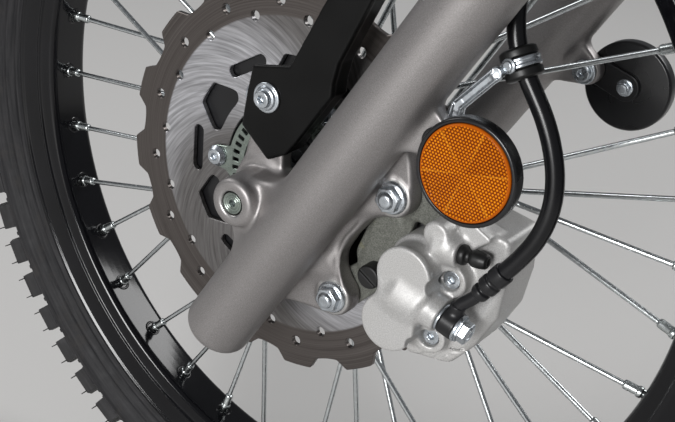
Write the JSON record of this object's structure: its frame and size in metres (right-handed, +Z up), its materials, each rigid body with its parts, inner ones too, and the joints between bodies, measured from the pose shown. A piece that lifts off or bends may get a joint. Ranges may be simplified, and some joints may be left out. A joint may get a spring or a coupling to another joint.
{
  "type": "motorcycle front wheel and fork assembly with disc brake",
  "caption": "Motorcycle front end: telescopic fork in two clamps, spoked wheel with knobbly tyre, petal brake disc, sliding caliper, brake hose, sensor guard and side reflectors.",
  "frame": {"origin": "steering stem axis at the top face of the lower clamp", "axes": "+X forward, +Y to the rider's left, +Z up; the stem leans back by 27.5 degrees"},
  "size_m": [0.7966, 0.245, 1.0865],
  "materials": {
    "amber": "gloss",
    "black_paint": "gloss",
    "black_rubber": "matte",
    "black_steel": "satin",
    "bracket_steel": "satin",
    "bright_steel": "brushed",
    "cast_alloy": "sand cast",
    "chrome_tube": "polished",
    "clamp_paint": "satin",
    "guard_plastic": "satin",
    "hose_rubber": "gloss",
    "hub_alloy": "satin",
    "pad": "matte",
    "slider_paint": "satin",
    "tyre": "matte",
    "zinc": "satin"
  },
  "bodies": {
    "fork": {"axle": "zinc", "banjo_bolt": "black_steel", "banjo_fitting": "black_steel", "bleed_nipple": "black_rubber", "brake_hose": "hose_rubber", "brake_pad_inner": "pad", "brake_pad_outer": "pad", "caliper_body": "cast_alloy", "caliper_bolts": "zinc", "caliper_bracket": "bracket_steel", "dust_seal_left": "black_rubber", "dust_seal_right": "black_rubber", "fork_cap_left": "zinc", "fork_cap_right": "zinc", "fork_slider_left": "slider_paint", "fork_slider_right": "slider_paint", "guard_bolts": "zinc", "hose_clip": "black_steel", "hose_grommet": "black_rubber", "hose_stay": "zinc", "hose_upper_fitting": "black_steel", "lower_clamp": "clamp_paint", "pad_pins": "zinc", "reflector_arm_left": "black_steel", "reflector_arm_right": "black_steel", "reflector_bolt_left": "zinc", "reflector_bolt_right": "zinc", "reflector_case_left": "guard_plastic", "reflector_case_right": "guard_plastic", "reflector_lens_left": "amber", "reflector_lens_right": "amber", "sensor_guard": "guard_plastic", "slide_pin_cap": "black_rubber", "slide_pins": "zinc", "stanchion_left": "chrome_tube", "stanchion_right": "chrome_tube", "steering_stem": "bright_steel", "stem_nut": "zinc", "upper_clamp": "clamp_paint", "wheel_spacer_left": "zinc", "wheel_spacer_right": "zinc"},
    "wheel": {"brake_disc": "bright_steel", "disc_bolts": "zinc", "rim": "black_paint", "spoke_nipples": "bright_steel", "spokes": "zinc", "tone_ring": "zinc", "tyre": "tyre", "wheel_bearings": "bright_steel", "wheel_hub": "hub_alloy"}
  },
  "joints": [
    {"name": "wheel_spin", "type": "hinge", "parent": "fork", "child": "wheel", "pos_m": [0.34907, 0, -0.53304], "axis": [0, 1, 0], "continuous": true}
  ]
}
